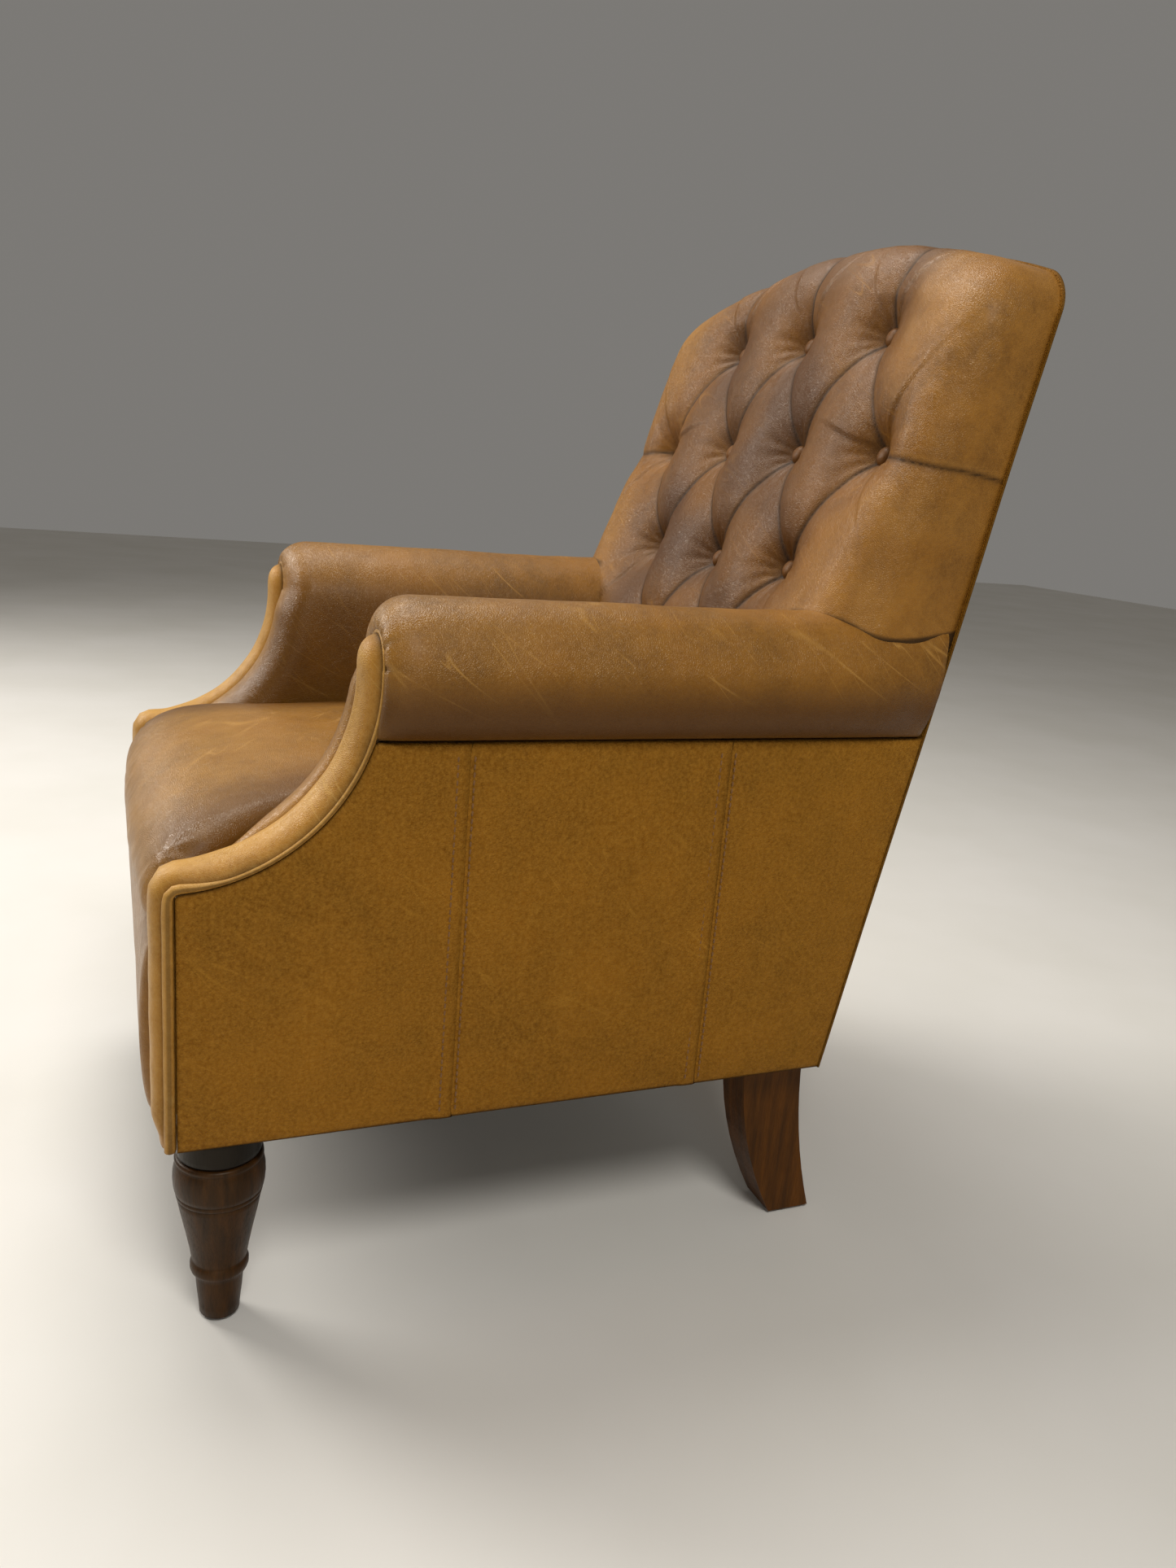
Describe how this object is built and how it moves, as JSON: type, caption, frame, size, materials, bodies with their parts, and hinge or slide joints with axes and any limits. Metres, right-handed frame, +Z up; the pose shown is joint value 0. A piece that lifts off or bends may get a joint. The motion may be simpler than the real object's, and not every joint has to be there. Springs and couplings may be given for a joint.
{
  "type": "upholstered armchair",
  "caption": "Scroll-arm armchair with a button-tufted leaning back, sprung seat, swept arm facings, turned front legs and square rear legs.",
  "frame": {"origin": "on the floor, under the middle of the chair's box", "axes": "+Z up, -Y the way the sitter faces, +X to the sitter's left"},
  "size_m": [0.654, 0.7892, 1],
  "materials": {
    "seat_hide": "waxed, aged tan aniline hide on the seat, back and arms",
    "panel_hide": "pebbled tan hide on the outside panels",
    "trim_hide": "light tan hide on the arm facings and their welts",
    "leg_wood": "stained and lacquered beech, ebonised at the collar",
    "frame_timber": "planed beech, unfinished",
    "plywood": "birch plywood, unfinished",
    "steel": "bright drawn wire and zinc fixings",
    "foam": "cut polyurethane foam",
    "felt": "pressed felt insulator",
    "webbing": "woven jute and linen twine",
    "dust_cloth": "black non-woven cambric",
    "glide_plastic": "moulded nylon"
  },
  "bodies": {
    "root": {"front_rail": "frame_timber", "rear_rail": "frame_timber", "corner_blocks": "frame_timber", "outer_side_panel_left": "plywood", "outer_side_panel_right": "plywood", "inner_side_panel_left": "plywood", "inner_side_panel_right": "plywood", "arm_blocks_left": "frame_timber", "arm_blocks_right": "frame_timber", "arm_board_left": "frame_timber", "arm_board_right": "frame_timber", "back_post_left": "frame_timber", "back_post_right": "frame_timber", "back_top_rail": "frame_timber", "back_lower_rail": "frame_timber", "seat_springs": "steel", "spring_clips": "steel", "seat_platform": "felt", "back_webbing": "webbing", "back_canvas": "webbing", "seat_foam": "foam", "front_border_foam": "foam", "back_foam": "foam", "roll_pad_left": "foam", "roll_pad_right": "foam", "inside_arm_pad_left": "foam", "inside_arm_pad_right": "foam", "arm_front_pad_left": "foam", "arm_front_pad_right": "foam", "facing_pad_left": "foam", "facing_pad_right": "foam", "seat_cover": "seat_hide", "front_border": "seat_hide", "back_cover": "seat_hide", "outside_back": "seat_hide", "back_buttons": "seat_hide", "button_ties": "webbing", "arm_cover_left": "seat_hide", "arm_cover_right": "seat_hide", "facing_cover_left": "trim_hide", "facing_cover_right": "trim_hide", "facing_welt_left": "trim_hide", "facing_welt_right": "trim_hide", "outside_arm_front_left": "panel_hide", "outside_arm_front_right": "panel_hide", "outside_arm_middle_left": "panel_hide", "outside_arm_middle_right": "panel_hide", "outside_arm_rear_left": "panel_hide", "outside_arm_rear_right": "panel_hide", "dust_cover": "dust_cloth", "front_leg_left": "leg_wood", "front_leg_right": "leg_wood", "rear_leg_left": "leg_wood", "rear_leg_right": "leg_wood", "leg_bolts": "steel", "rear_leg_screws": "steel", "glides": "glide_plastic"}
  },
  "joints": []
}
